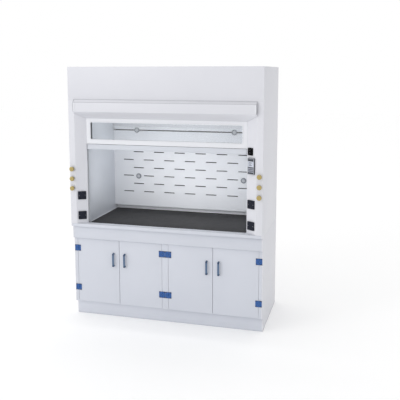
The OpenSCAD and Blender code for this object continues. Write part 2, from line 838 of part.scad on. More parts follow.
plinth();
cabinet_floor();
cabinet_sides();
cabinet_back();
cabinet_partition();
cabinet_stiles();
apron();
worktop();
front_sill();
hood_sides();
hood_back();
hood_top();
header_panel();
header_lip();
post_left();
post_right();
chamber_sides();
chamber_back();
chamber_ceiling();
lower_baffle();
upper_baffle();
baffle_buttons();
exhaust_collar();
lamp_housing();
lamp_tube();
window_panel();
window_glass();
sash_tracks();
pulley_brackets();
lift_cables();
weight_cables();
pulley_cables();
socket_outlets();
control_panel();
control_screen();
switch_plate();
valve_bodies();
hinge_frame_leaves();
sash_frame();
sash_glass();
sash_handle();
counterweight_left();
counterweight_right();
front_pulleys();
rear_pulleys();
door_1();
door_2();
door_3();
door_4();
door_1_fittings();
door_2_fittings();
door_3_fittings();
door_4_fittings();
valve_knob_1();
valve_knob_2();
valve_knob_3();
valve_knob_4();
valve_knob_5();
valve_knob_6();
power_rocker();
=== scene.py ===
"""Looks of a walk-up polypropylene fume hood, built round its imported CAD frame.

Metres, +Z up, +Y towards the wall. Boards are clean copies of the CAD meshes with eased edges;
knobs, handles, beads, trims, screws, keys and ropes are surfaces worked out on grids.
"""
import json
import math

import bmesh
import bpy
import numpy as np
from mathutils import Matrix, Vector


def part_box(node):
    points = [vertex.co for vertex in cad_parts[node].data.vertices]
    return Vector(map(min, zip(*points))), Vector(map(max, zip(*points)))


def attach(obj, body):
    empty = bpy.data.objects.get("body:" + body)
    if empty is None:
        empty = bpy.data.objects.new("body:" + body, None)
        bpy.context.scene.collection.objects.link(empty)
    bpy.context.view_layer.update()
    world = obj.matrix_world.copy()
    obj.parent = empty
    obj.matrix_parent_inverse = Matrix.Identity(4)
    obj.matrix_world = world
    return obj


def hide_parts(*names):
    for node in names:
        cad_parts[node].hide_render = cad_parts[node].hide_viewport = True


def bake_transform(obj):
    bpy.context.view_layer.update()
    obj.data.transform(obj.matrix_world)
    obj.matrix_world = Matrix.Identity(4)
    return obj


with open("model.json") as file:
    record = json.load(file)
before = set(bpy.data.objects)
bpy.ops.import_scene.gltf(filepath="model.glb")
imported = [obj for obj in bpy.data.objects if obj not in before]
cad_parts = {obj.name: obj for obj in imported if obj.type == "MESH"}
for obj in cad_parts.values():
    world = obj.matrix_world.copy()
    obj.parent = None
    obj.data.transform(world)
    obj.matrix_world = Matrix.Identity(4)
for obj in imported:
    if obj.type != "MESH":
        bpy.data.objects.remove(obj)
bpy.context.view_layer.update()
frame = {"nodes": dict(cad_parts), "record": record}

MM = 0.001
BODY_OF = {n: b for b, nodes in frame["record"]["behaviour"]["bodies"].items() for n in nodes}
JOINTS = {j["name"]: j for j in frame["record"]["behaviour"]["joints"]}


def span(node):
    """Lowest and highest corner of a CAD node, as arrays."""
    low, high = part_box(node)
    return np.array(low), np.array(high)


POST_FRONT = span("post_right")[0][1]
POST_FLAT = 58 * MM
POST_BEVEL_DEPTH = 54 * MM
# how far a pane runs into its frame all round
GLASS_LAP = 12 * MM
# corners nearer than this are joined when a CAD mesh is copied
JOIN_GAP = 2e-5


# ---------------------------------------------------------------- shader groups


def add(tree, kind, **values):
    """A node of that kind, with its settings and input values set by name."""
    made = tree.nodes.new("ShaderNode" + kind)
    for key, value in values.items():
        if key in made.inputs:
            made.inputs[key].default_value = value
        else:
            setattr(made, key, value)
    return made


def new_group(name, inputs, outputs):
    """An empty shader group with float or colour sockets, and its two end nodes."""
    tree = bpy.data.node_groups.new(name, "ShaderNodeTree")
    for label, start in inputs.items():
        kind = "NodeSocketFloat" if isinstance(start, (int, float)) else "NodeSocketColor"
        tree.interface.new_socket(label, in_out="INPUT", socket_type=kind).default_value = start
    for label, kind in outputs.items():
        tree.interface.new_socket(label, in_out="OUTPUT", socket_type="NodeSocket" + kind)
    return tree, tree.nodes.new("NodeGroupInput"), tree.nodes.new("NodeGroupOutput")


def maths(tree, operation, a, b=None, clamp=False):
    """A Math node fed by sockets or numbers; gives its output."""
    made = tree.nodes.new("ShaderNodeMath")
    made.operation = operation
    made.use_clamp = clamp
    for socket, value in zip(made.inputs, (a, b)):
        if value is None:
            continue
        if isinstance(value, (int, float)):
            socket.default_value = value
        else:
            tree.links.new(value, socket)
    return made.outputs[0]


def blend_colour(tree, factor, a, b):
    """A colour Mix node; a and b are sockets or colours. Gives its colour output."""
    made = tree.nodes.new("ShaderNodeMix")
    made.data_type = "RGBA"
    for socket, value in ((made.inputs[0], factor), (made.inputs[6], a), (made.inputs[7], b)):
        if isinstance(value, bpy.types.NodeSocket):
            tree.links.new(value, socket)
        elif isinstance(value, (int, float)):
            socket.default_value = value
        else:
            socket.default_value = (*value[:3], 1)
    return made.outputs[2]


def noise(tree, coords, scale, detail=3.0, roughness=0.5):
    """Value of a noise texture at object coordinates."""
    made = add(tree, "TexNoise", Scale=scale, Detail=detail, Roughness=roughness)
    tree.links.new(coords, made.inputs["Vector"])
    return made.outputs[0]


def make_grain_group():
    """Calendered board: a fine pebble height and a slow, faint change of tone."""
    tree, given, out = new_group("Board grain", {"Grain size": 900.0}, {"Height": "Float", "Tone": "Float"})
    coords = add(tree, "TexCoord").outputs["Object"]
    pebble = add(tree, "TexVoronoi", feature="SMOOTH_F1")
    tree.links.new(coords, pebble.inputs["Vector"])
    tree.links.new(given.outputs[0], pebble.inputs["Scale"])
    wave = noise(tree, coords, 60.0, 2.0)
    tree.links.new(maths(tree, "ADD", pebble.outputs[0], maths(tree, "MULTIPLY", wave, 0.6)), out.inputs[0])
    tree.links.new(noise(tree, coords, 1.7, 3.0, 0.6), out.inputs[1])
    return tree


def make_scuff_group():
    """Rubbed streaks: a mask of thin stretched marks, broken up by patches."""
    tree, given, out = new_group("Scuffs", {"Amount": 0.5}, {"Mask": "Float"})
    coords = add(tree, "TexCoord").outputs["Object"]
    streak = add(tree, "Mapping")
    streak.inputs["Scale"].default_value = (9.0, 9.0, 150.0)
    streak.inputs["Rotation"].default_value = (0.3, 0.5, 0.2)
    tree.links.new(coords, streak.inputs["Vector"])
    thin = maths(tree, "GREATER_THAN", noise(tree, streak.outputs[0], 2.2, 5.0, 0.65), 0.66)
    patch = maths(tree, "SUBTRACT", noise(tree, coords, 4.0, 2.0), 0.45)
    patch = maths(tree, "MULTIPLY", patch, 6.0, clamp=True)
    streaks = maths(tree, "MULTIPLY", thin, patch)
    tree.links.new(maths(tree, "MULTIPLY", streaks, given.outputs[0]), out.inputs[0])
    return tree


def make_dust_group():
    """Settled dust: strongest on faces that look up, thinned by noise."""
    tree, given, out = new_group("Settled dust", {"Amount": 0.3}, {"Mask": "Float"})
    facing = add(tree, "SeparateXYZ")
    tree.links.new(add(tree, "NewGeometry").outputs["Normal"], facing.inputs[0])
    up = maths(tree, "MULTIPLY", maths(tree, "SUBTRACT", facing.outputs[2], 0.6), 2.5, clamp=True)
    coords = add(tree, "TexCoord").outputs["Object"]
    cloud = maths(tree, "ADD", noise(tree, coords, 22.0, 4.0, 0.6), 0.1)
    lying = maths(tree, "MULTIPLY", up, cloud)
    tree.links.new(maths(tree, "MULTIPLY", lying, given.outputs[0]), out.inputs[0])
    return tree


def make_painted_shade_group():
    """Painted shade in corners: darkest where surfaces meet, from ambient occlusion broken by noise."""
    tree, given, out = new_group("Painted corner shade", {"Reach": 0.02, "Amount": 0.3}, {"Mask": "Float"})
    near = add(tree, "AmbientOcclusion", samples=4)
    tree.links.new(given.outputs[0], near.inputs["Distance"])
    coords = add(tree, "TexCoord").outputs["Object"]
    hidden = maths(tree, "SUBTRACT", 1.0, near.outputs["AO"])
    broken = maths(tree, "MULTIPLY", hidden, maths(tree, "ADD", noise(tree, coords, 35.0), 0.35))
    tree.links.new(maths(tree, "MULTIPLY", broken, given.outputs[1], clamp=True), out.inputs[0])
    return tree


GRAIN = make_grain_group()
SCUFFS = make_scuff_group()
DUST = make_dust_group()
PAINTED_CORNER_SHADE = make_painted_shade_group()


def placed(tree, group, **values):
    """The group put into a material with its own values."""
    made = tree.nodes.new("ShaderNodeGroup")
    made.node_tree = group
    for key, value in values.items():
        made.inputs[key.replace("_", " ").capitalize()].default_value = value
    return made


def start_material(name, roughness, **settings):
    """A material with a Principled shader; settings are values of its sockets."""
    made = bpy.data.materials.new(name)
    made.use_nodes = True
    shader = made.node_tree.nodes["Principled BSDF"]
    shader.inputs["Roughness"].default_value = roughness
    for key, value in settings.items():
        shader.inputs[key.replace("_", " ")].default_value = value
    return made, made.node_tree, shader


def bump(tree, shader, height, distance, strength=0.5):
    """Feeds a height to the shader's normal through a Bump node."""
    made = add(tree, "Bump", Strength=strength, Distance=distance)
    tree.links.new(height, made.inputs["Height"])
    tree.links.new(made.outputs[0], shader.inputs["Normal"])


# ---------------------------------------------------------------- materials


def board_material(name, colour, shade, roughness=0.42, grain=900.0, relief=0.05, dust=0.25, corner_shade=0.35):
    """Plastic board: slow tone, pebble grain, rubbed streaks, dust on top and painted shade in the corners.
    """
    made, tree, shader = start_material(name, roughness)
    skin = placed(tree, GRAIN, grain_size=grain)
    rubbed = placed(tree, SCUFFS, amount=0.5).outputs[0]
    settled = placed(tree, DUST, amount=dust).outputs[0]
    # painted shade: ambient occlusion darkens the board in its corners
    corners = placed(tree, PAINTED_CORNER_SHADE, reach=0.018, amount=corner_shade).outputs[0]
    tone = maths(tree, "MULTIPLY", maths(tree, "SUBTRACT", skin.outputs[1], 0.35), 3.0, clamp=True)
    body = blend_colour(tree, tone, colour, shade)
    body = blend_colour(tree, corners, body, [0.42 * c for c in shade])
    body = blend_colour(tree, settled, body, (0.55, 0.54, 0.52))
    tree.links.new(body, shader.inputs["Base Color"])
    rough = maths(tree, "ADD", roughness, maths(tree, "MULTIPLY", rubbed, 0.16))
    rough = maths(tree, "ADD", rough, maths(tree, "MULTIPLY", settled, 0.3), clamp=True)
    tree.links.new(rough, shader.inputs["Roughness"])
    bump(tree, shader, skin.outputs[0], relief * MM, 0.6)
    return made


def back_wall_material():
    """Back wall of the chamber: liner painted paler at bench level as painted light on a shadowed strip, and
    near-black behind the baffle as painted shade of the unlit plenum.
    """
    made, tree, shader = start_material("Back wall board", 0.4)
    skin = placed(tree, GRAIN, grain_size=900.0)
    split = add(tree, "SeparateXYZ")
    tree.links.new(add(tree, "TexCoord").outputs["Object"], split.inputs[0])
    baffle_foot = float(span("lower_baffle")[0][2])
    height = maths(tree, "SUBTRACT", split.outputs["Z"], baffle_foot)
    above = maths(tree, "MULTIPLY", height, 50.0, clamp=True)
    # the liner painted paler than the chamber sides: painted light on the shadowed strip under the baffle
    clean = blend_colour(tree, skin.outputs[1], (0.86, 0.88, 0.92), (0.82, 0.84, 0.88))
    # near-black above the baffle's foot: painted shade of the unlit space behind the baffle
    painted_plenum_shade = blend_colour(tree, skin.outputs[1], (0.010, 0.010, 0.012), (0.018, 0.018, 0.019))
    tree.links.new(blend_colour(tree, above, clean, painted_plenum_shade), shader.inputs["Base Color"])
    bump(tree, shader, skin.outputs[0], 0.05 * MM, 0.6)
    return made


def slab_material():
    """Dark cast slab: fine mineral specks in charcoal, wiped streaks and settled dust."""
    made, tree, shader = start_material("Charcoal slab", 0.5, Specular_IOR_Level=0.10)
    coords = add(tree, "TexCoord").outputs["Object"]
    speck = add(tree, "TexVoronoi", Scale=420.0)
    tree.links.new(coords, speck.inputs["Vector"])
    light = maths(tree, "LESS_THAN", speck.outputs["Distance"], 0.16)
    pale = maths(tree, "MULTIPLY", light, noise(tree, coords, 90.0, 2.0))
    cloud = noise(tree, coords, 5.0, 5.0, 0.62)
    body = blend_colour(tree, cloud, (0.016, 0.0165, 0.020), (0.028, 0.028, 0.031))
    body = blend_colour(tree, maths(tree, "MULTIPLY", pale, 0.35), body, (0.16, 0.16, 0.17))
    settled = placed(tree, DUST, amount=0.10).outputs[0]
    body = blend_colour(tree, settled, body, (0.35, 0.34, 0.32))
    tree.links.new(body, shader.inputs["Base Color"])
    wiped = placed(tree, SCUFFS, amount=0.8).outputs[0]
    rough = maths(tree, "ADD", maths(tree, "MULTIPLY", cloud, 0.2), 0.42)
    tree.links.new(maths(tree, "ADD", rough, maths(tree, "MULTIPLY", wiped, 0.2)), shader.inputs["Roughness"])
    bump(tree, shader, noise(tree, coords, 700.0, 2.0), 0.04 * MM, 0.5)
    return made


def moulded_material(name, colour, worn, roughness=0.32, relief=0.03, grain=1500.0, gloss=0.5):
    """Moulded plastic: spark-etched grain, a paler rubbed tone and painted shade in the corners."""
    made, tree, shader = start_material(name, roughness, Specular_IOR_Level=gloss)
    skin = placed(tree, GRAIN, grain_size=grain)
    rubbed = placed(tree, SCUFFS, amount=0.7).outputs[0]
    # painted shade: ambient occlusion darkens the moulding in its corners
    corners = placed(tree, PAINTED_CORNER_SHADE, reach=0.006, amount=0.6).outputs[0]
    body = blend_colour(tree, skin.outputs[1], colour, worn)
    body = blend_colour(tree, maths(tree, "MULTIPLY", rubbed, 0.3), body, [min(1, 1.6 * c) for c in worn])
    body = blend_colour(tree, corners, body, [0.35 * c for c in colour])
    tree.links.new(body, shader.inputs["Base Color"])
    rough = maths(tree, "ADD", roughness, maths(tree, "MULTIPLY", rubbed, 0.2))
    tree.links.new(rough, shader.inputs["Roughness"])
    bump(tree, shader, skin.outputs[0], relief * MM, 0.5)
    return made


def metal_material(name, colour, shade, roughness, stretch=(4.0, 4.0, 400.0), metallic=1.0, pits=0.0):
    """Metal: long brushing lines, a cloudy tone, and cast pits where asked."""
    made, tree, shader = start_material(name, roughness, Metallic=metallic)
    coords = add(tree, "TexCoord").outputs["Object"]
    lines = add(tree, "Mapping")
    lines.inputs["Scale"].default_value = stretch
    tree.links.new(coords, lines.inputs["Vector"])
    brushed = noise(tree, lines.outputs[0], 3.0, 4.0, 0.7)
    cloud = noise(tree, coords, 12.0, 3.0)
    body = blend_colour(tree, cloud, colour, shade)
    # painted shade: ambient occlusion darkens the metal in its corners
    corners = placed(tree, PAINTED_CORNER_SHADE, reach=0.006, amount=0.7).outputs[0]
    body = blend_colour(tree, corners, body, [0.3 * c for c in shade])
    tree.links.new(body, shader.inputs["Base Color"])
    tree.links.new(maths(tree, "ADD", roughness - 0.08, maths(tree, "MULTIPLY", brushed, 0.18)),
                   shader.inputs["Roughness"])
    rough_cast = maths(tree, "MULTIPLY", noise(tree, coords, 260.0, 4.0), pits)
    bump(tree, shader, maths(tree, "ADD", maths(tree, "MULTIPLY", brushed, 0.2), rough_cast), 0.1 * MM, 0.5)
    return made


def gold_material():
    """Gold-coloured lacquer on the knobs: warm cloudy tone, painted shade in the flutes, rubbed paler."""
    made, tree, shader = start_material("Gold lacquer", 0.36, Metallic=0.35, Coat_Weight=0.4,
                                        Coat_Roughness=0.15)
    skin = placed(tree, GRAIN, grain_size=1800.0)
    # painted shade: ambient occlusion darkens the flutes
    corners = placed(tree, PAINTED_CORNER_SHADE, reach=0.005, amount=0.9).outputs[0]
    rubbed = placed(tree, SCUFFS, amount=0.6).outputs[0]
    body = blend_colour(tree, skin.outputs[1], (0.47, 0.36, 0.12), (0.39, 0.30, 0.10))
    body = blend_colour(tree, rubbed, body, (0.60, 0.49, 0.22))
    body = blend_colour(tree, corners, body, (0.16, 0.10, 0.03))
    tree.links.new(body, shader.inputs["Base Color"])
    tree.links.new(maths(tree, "ADD", 0.32, maths(tree, "MULTIPLY", rubbed, 0.2)), shader.inputs["Roughness"])
    bump(tree, shader, skin.outputs[0], 0.02 * MM, 0.4)
    return made


def pane_material():
    """Float glass with a grey tint and faint finger haze."""
    made, tree, shader = start_material("Grey pane", 0.02, IOR=1.45, Transmission_Weight=1.0)
    coords = add(tree, "TexCoord").outputs["Object"]
    haze = noise(tree, coords, 6.0, 5.0, 0.6)
    body = blend_colour(tree, haze, (0.965, 0.972, 0.978), (0.945, 0.955, 0.963))
    tree.links.new(body, shader.inputs["Base Color"])
    smear = maths(tree, "MULTIPLY", maths(tree, "SUBTRACT", haze, 0.5), 0.25, clamp=True)
    tree.links.new(maths(tree, "ADD", 0.01, smear), shader.inputs["Roughness"])
    return made


def display_material():
    """Lit display: a pale field with a faint cell pattern and a slight falling-off of light."""
    made, tree, shader = start_material("Display", 0.18, Emission_Strength=0.25, Coat_Weight=0.6)
    coords = add(tree, "TexCoord").outputs["Object"]
    cells = add(tree, "TexVoronoi", Scale=1400.0, distance="CHEBYCHEV")
    tree.links.new(coords, cells.inputs["Vector"])
    field = blend_colour(tree, noise(tree, coords, 18.0, 2.0), (0.42, 0.45, 0.53), (0.50, 0.53, 0.60))
    faint = maths(tree, "MULTIPLY", cells.outputs["Distance"], 0.25)
    field = blend_colour(tree, faint, field, (0.34, 0.37, 0.44))
    tree.links.new(field, shader.inputs["Base Color"])
    tree.links.new(field, shader.inputs["Emission Color"])
    return made


def lamp_material():
    """Opal tube: milky, a little brighter in its middle by a soft cloud."""
    made, tree, shader = start_material("Opal tube", 0.25, Emission_Strength=0.6)
    coords = add(tree, "TexCoord").outputs["Object"]
    body = blend_colour(tree, noise(tree, coords, 8.0, 2.0), (0.92, 0.94, 0.95), (0.84, 0.87, 0.89))
    tree.links.new(body, shader.inputs["Base Color"])
    tree.links.new(body, shader.inputs["Emission Color"])
    return made


def rubber_material():
    """Extruded rubber: matt, with a bloom and a fine pebble."""
    made, tree, shader = start_material("Gasket rubber", 0.7)
    skin = placed(tree, GRAIN, grain_size=1200.0)
    bloom = placed(tree, DUST, amount=0.4).outputs[0]
    body = blend_colour(tree, skin.outputs[1], (0.05, 0.052, 0.056), (0.09, 0.09, 0.095))
    tree.links.new(blend_colour(tree, bloom, body, (0.3, 0.3, 0.3)), shader.inputs["Base Color"])
    bump(tree, shader, skin.outputs[0], 0.03 * MM, 0.5)
    return made


def rope_material():
    """Wire rope: strands twisted round the rope, from its own UV (round, along)."""
    made, tree, shader = start_material("Wire rope", 0.35, Metallic=1.0)
    uv = add(tree, "UVMap", uv_map="UVMap").outputs[0]
    parts = add(tree, "SeparateXYZ")
    tree.links.new(uv, parts.inputs[0])
    round_it = maths(tree, "MULTIPLY", parts.outputs[0], 37.7)
    along_it = maths(tree, "MULTIPLY", parts.outputs[1], 900.0)
    turn = maths(tree, "ADD", round_it, along_it)
    strand = maths(tree, "ADD", maths(tree, "MULTIPLY", maths(tree, "SINE", turn), 0.5), 0.5)
    wire = blend_colour(tree, strand, (0.22, 0.22, 0.23), (0.66, 0.66, 0.68))
    tree.links.new(wire, shader.inputs["Base Color"])
    bump(tree, shader, strand, 0.3 * MM, 0.8)
    return made


WHITE = board_material("White casing board", (0.69, 0.695, 0.74), (0.67, 0.676, 0.722))
# a darker, slightly bluer copy of the casing board: the darkness is painted shade of the lower cabinet
SHADED_CABINET_WHITE = board_material("White cabinet board with painted shade", (0.61, 0.632, 0.695), (0.588, 0.611, 0.674))
FRAME_WHITE = board_material("White sash board", (0.76, 0.77, 0.81), (0.74, 0.75, 0.79),
                             roughness=0.34, relief=0.03)
SASH_WHITE = board_material("Sash rail board", (0.62, 0.645, 0.70), (0.60, 0.624, 0.68),
                            roughness=0.34, relief=0.03)
LINER = board_material("Grey liner board", (0.66, 0.69, 0.74), (0.61, 0.64, 0.69), roughness=0.38)
BAFFLE = board_material("Baffle board", (0.74, 0.76, 0.80), (0.70, 0.72, 0.76), roughness=0.4)
BEAD = board_material("Weld bead", (0.78, 0.79, 0.84), (0.70, 0.71, 0.76), roughness=0.3,
                      grain=400.0, relief=0.2)
BACK_WALL = back_wall_material()
SLAB = slab_material()
TRACK_WHITE = board_material("Track coating", (0.62, 0.64, 0.67), (0.58, 0.60, 0.63), roughness=0.3,
                             relief=0.02)
SEALANT = board_material("Sealant", (0.46, 0.47, 0.50), (0.40, 0.41, 0.44), roughness=0.5, grain=500.0)
BLUE = moulded_material("Blue moulding", (0.020, 0.095, 0.33), (0.030, 0.13, 0.40), roughness=0.36)
DEEP_BLUE = moulded_material("Deep blue caps", (0.006, 0.022, 0.075), (0.010, 0.035, 0.10), roughness=0.4)
SLATE_BLUE = moulded_material("Slate blue grip", (0.060, 0.115, 0.21), (0.080, 0.145, 0.25), roughness=0.42)
NAVY = moulded_material("Near-black moulding", (0.008, 0.010, 0.020), (0.013, 0.016, 0.028),
                        roughness=0.45, gloss=0.2)
ROCKER_BLACK = moulded_material("Rocker black", (0.003, 0.003, 0.004), (0.006, 0.006, 0.007),
                                roughness=0.6, gloss=0.04)
PANEL_DARK = moulded_material("Panel moulding", (0.045, 0.050, 0.064), (0.058, 0.063, 0.078),
                              roughness=0.45, gloss=0.3)
KEY_GREY = moulded_material("Key moulding", (0.34, 0.36, 0.42), (0.40, 0.42, 0.48), roughness=0.5)
BEZEL_GREY = moulded_material("Bezel moulding", (0.50, 0.53, 0.58), (0.58, 0.60, 0.64), roughness=0.4)
BUTTON_GREY = moulded_material("Button moulding", (0.20, 0.22, 0.25), (0.26, 0.28, 0.31), roughness=0.45)
BUTTON_PALE = moulded_material("Button cap", (0.42, 0.44, 0.48), (0.48, 0.50, 0.53), roughness=0.4)
NYLON = moulded_material("Natural nylon", (0.72, 0.70, 0.64), (0.78, 0.76, 0.70), roughness=0.42)
MARK_WHITE = moulded_material("Printed white", (0.80, 0.80, 0.80), (0.85, 0.85, 0.85), roughness=0.5)
GOLD = gold_material()
GOLD_INSERT = moulded_material("Olive gold insert", (0.36, 0.29, 0.10), (0.42, 0.34, 0.13), roughness=0.4)
STEEL = metal_material("Brushed steel", (0.60, 0.61, 0.63), (0.50, 0.51, 0.53), 0.3)
IRON = metal_material("Painted casting", (0.05, 0.05, 0.055), (0.08, 0.08, 0.085), 0.55,
                      metallic=0.3, pits=1.0)
PANE = pane_material()
DISPLAY = display_material()
OPAL = lamp_material()
RUBBER = rubber_material()
ROPE = rope_material()


# ---------------------------------------------------------------- pieces


def linked(name, data):
    """A new object for that mesh, light or camera, put into the scene."""
    obj = bpy.data.objects.new(name, data)
    bpy.context.scene.collection.objects.link(obj)
    return obj


def finish_piece(obj, body, material):
    """Gives a new piece its material and its body, if it rides on one."""
    obj.data.materials.clear()
    obj.data.materials.append(material)
    if body is not None:
        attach(obj, body)
    return obj


def surface(name, grids, body, material, sharp=40.0):
    """One mesh from several (points, faces) pairs, smooth except at folds above the sharp angle."""
    points, faces, start = [], [], 0
    for p, f in grids:
        points.append(np.asarray(p, float).reshape(-1, 3))
        faces += [[int(i) + start for i in face] for face in f]
        start += len(points[-1])
    mesh = bpy.data.meshes.new(name)
    mesh.from_pydata(np.concatenate(points), [], faces)
    mesh.polygons.foreach_set("use_smooth", np.ones(len(mesh.polygons), bool))
    bm = bmesh.new()
    bm.from_mesh(mesh)
    bmesh.ops.remove_doubles(bm, verts=bm.verts, dist=1e-6)
    bmesh.ops.recalc_face_normals(bm, faces=bm.faces)
    bm.to_mesh(mesh)
    bm.free()
    mesh.set_sharp_from_angle(angle=math.radians(sharp))
    return finish_piece(linked(name, mesh), body, material)


def grid_faces(rows, columns):
    """Quads between the rows and columns of a grid of points; the last column is joined to the first."""
    r = np.arange(rows - 1)[:, None]
    c = np.arange(columns)[None, :]
    d = (c + 1) % columns
    quads = np.stack([r * columns + c, r * columns + d, (r + 1) * columns + d, (r + 1) * columns + c], -1)
    return quads.reshape(-1, 4).tolist()


def capped(points, rows, columns):
    """A tube grid closed at both ends with one face each."""
    ends = [list(range(columns))[::-1], list(range((rows - 1) * columns, rows * columns))]
    return points, grid_faces(rows, columns) + ends


def metres(rows):
    """A profile's rows in millimetres, as metres."""
    return [(r * MM, h * MM) for r, h in rows]


def turned(profile, centre, axis, segments=48, flute=None):
    """A turned solid. Profile rows are (radius, distance along the axis). A point is the centre plus
    the distance along the axis plus the radius round it; flute(angle, row) scales the radius."""
    axis = np.asarray(axis, float) / np.linalg.norm(axis)
    side = np.cross(axis, (0, 0, 1) if abs(axis[2]) < 0.9 else (1, 0, 0))
    side /= np.linalg.norm(side)
    up = np.cross(axis, side)
    angle = np.linspace(0, 2 * math.pi, segments, endpoint=False)
    profile = np.asarray(profile, float)
    radius = profile[:, :1] * np.ones((1, segments))
    if flute is not None:
        radius = radius * flute(angle[None, :], np.arange(len(profile))[:, None])
    ring = np.cos(angle)[:, None] * side + np.sin(angle)[:, None] * up
    points = np.asarray(centre) + profile[:, 1][:, None, None] * axis + radius[..., None] * ring[None]
    return capped(points, len(profile), segments)


def squircle(width, height, radius, steps=6):
    """Outline of a rectangle with round corners, as (n, 2) points in order round it."""
    turn = np.linspace(0, math.pi / 2, steps)
    corners = []
    for k, (sx, sy) in enumerate(((1, 1), (-1, 1), (-1, -1), (1, -1))):
        a = turn + k * math.pi / 2
        centre = np.array([sx * (width / 2 - radius), sy * (height / 2 - radius)])
        corners.append(centre + radius * np.stack([np.cos(a), np.sin(a)], 1))
    return np.concatenate(corners)


def pad(width, height, radius, depth, place, ease=0.3, steps=5, edge=3):
    """A rounded slab. Its outline is a squircle; going forward, it shrinks by the ease along a quarter
    circle. place(x, y, out) turns slab points into the frame's points."""
    rings, outs = [], []
    a = np.linspace(0, math.pi / 2, edge)
    insets = np.concatenate([[0], ease * (1 - np.cos(a))])
    levels = np.concatenate([[0], depth - ease + ease * np.sin(a)])
    for inset, level in zip(insets, levels):
        ring = squircle(width - 2 * inset, height - 2 * inset, max(radius - inset, radius * 0.3), steps)
        rings.append(ring)
        outs.append(np.full(len(ring), level))
    points = place(np.array(rings)[..., 0], np.array(rings)[..., 1], np.array(outs))
    return capped(points, len(rings), points.shape[1])


def on_front(x, y, z):
    """A place() for pad(): slab points about (x, y, z), on a face that looks along -Y."""
    def place(u, v, out):
        """Across adds to x, up adds to z, and out is taken from y."""
        return np.stack([x + u, y - out, z + v], -1)
    return place


def swept(path, section, closed=False, up=(0, 0, 1)):
    """A section carried along a path. At each point the tangent is the mean of its two chords; the
    section's x goes sideways (tangent x up) and its y goes along the remaining axis."""
    path = np.asarray(path, float)
    if closed:
        tangent = np.roll(path, -1, 0) - np.roll(path, 1, 0)
    else:
        tangent = np.gradient(path, axis=0)
    tangent /= np.linalg.norm(tangent, axis=1, keepdims=True)
    side = np.cross(tangent, np.asarray(up, float))
    side /= np.linalg.norm(side, axis=1, keepdims=True)
    rise = np.cross(side, tangent)
    points = path[:, None] + section[None, :, :1] * side[:, None] + section[None, :, 1:] * rise[:, None]
    if closed:
        points = np.concatenate([points, points[:1]])
        return points, grid_faces(len(points), len(section))
    return capped(points, len(points), len(section))


def round_section(radius, sides=8):
    """A circle as a section for swept()."""
    a = np.linspace(0, 2 * math.pi, sides, endpoint=False)
    return radius * np.stack([np.cos(a), np.sin(a)], 1)


def rounded_path(corners, radius, steps=6):
    """A path through corners with each inner corner rounded by a quadratic curve of that reach."""
    corners = np.asarray(corners, float)
    out = [corners[:1]]
    t = np.linspace(0, 1, steps)[:, None]
    for a, b, c in zip(corners[:-2], corners[1:-1], corners[2:]):
        p = b + (a - b) / np.linalg.norm(a - b) * radius
        q = b + (c - b) / np.linalg.norm(c - b) * radius
        out.append((1 - t) ** 2 * p + 2 * t * (1 - t) * b + t ** 2 * q)
    out.append(corners[-1:])
    return np.concatenate(out)


def joined_copy(node):
    """A CAD node's loose triangles copied and joined at their corners."""
    bm = bmesh.new()
    bm.from_mesh(frame["nodes"][node].data)
    bmesh.ops.remove_doubles(bm, verts=bm.verts, dist=JOIN_GAP)
    return bm


def refined(node, material, width=1.0, segments=2, keep=None, name=None):
    """A clean copy of a CAD node: doubles merged, flat triangles joined, edges eased by a bevel.
    keep(centre) chooses which loose parts stay."""
    bm = joined_copy(node)
    bmesh.ops.dissolve_limit(bm, angle_limit=math.radians(0.6), verts=bm.verts, edges=bm.edges)
    if keep is not None:
        drop = [v for part in islands(bm) for v in part if not keep(middle(part))]
        bmesh.ops.delete(bm, geom=drop, context="VERTS")
    title = name or node + "_board"
    mesh = bpy.data.meshes.new(title)
    bm.to_mesh(mesh)
    bm.free()
    mesh.polygons.foreach_set("use_smooth", np.ones(len(mesh.polygons), bool))
    obj = linked(title, mesh)
    ease = obj.modifiers.new("Eased edges", "BEVEL")
    ease.width = width * MM
    ease.segments = segments
    ease.limit_method = "ANGLE"
    ease.angle_limit = math.radians(30)
    ease.harden_normals = True
    finish_piece(obj, BODY_OF[node], material)
    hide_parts(node)
    return obj


def islands(bm):
    """The loose parts of a mesh, each a list of its vertices."""
    seen, parts = set(), []
    for first in bm.verts:
        if first in seen:
            continue
        part, queue = [], [first]
        seen.add(first)
        while queue:
            v = queue.pop()
            part.append(v)
            for e in v.link_edges:
                w = e.other_vert(v)
                if w not in seen:
                    seen.add(w)
                    queue.append(w)
        parts.append(part)
    return parts


def middle(part):
    """Centre of a loose part's box."""
    p = np.array([v.co[:] for v in part])
    return (p.min(0) + p.max(0)) / 2


def part_centres(node):
    """Centres of a CAD node's loose parts."""
    bm = joined_copy(node)
    centres = [middle(part) for part in islands(bm)]
    bm.free()
    return centres


def paint(node, material):
    """Gives a CAD node that stays as it is its material."""
    data = frame["nodes"][node].data
    data.materials.clear()
    data.materials.append(material)


# ---------------------------------------------------------------- casing and cabinet


def build_casing():
    """Boards of the cabinet and of the upper body, with eased edges."""
    for node in ("cabinet_sides", "cabinet_back", "hood_sides", "hood_back", "hood_top",
                 "header_panel", "header_lip", "post_left", "post_right", "exhaust_collar"):
        refined(node, WHITE, 0.9)
    # cabinet boards and doors get the darker board copy: painted shade of the lower part
    for node in ("plinth", "cabinet_floor", "cabinet_partition", "cabinet_stiles", "apron", "front_sill"):
        refined(node, SHADED_CABINET_WHITE, 1.0)
    for k in range(1, 5):
        refined(f"door_{k}", SHADED_CABINET_WHITE, 1.6, 3)
    refined("worktop", SLAB, 1.5, 3)
    for node in ("chamber_sides", "chamber_ceiling"):
        refined(node, LINER, 0.8)
    refined("chamber_back", BACK_WALL, 0.8)
    refined("upper_baffle", BAFFLE, 0.8)
    paint("lower_baffle", BAFFLE)
    refined("lamp_housing", WHITE, 1.0)
    paint("lamp_tube", OPAL)


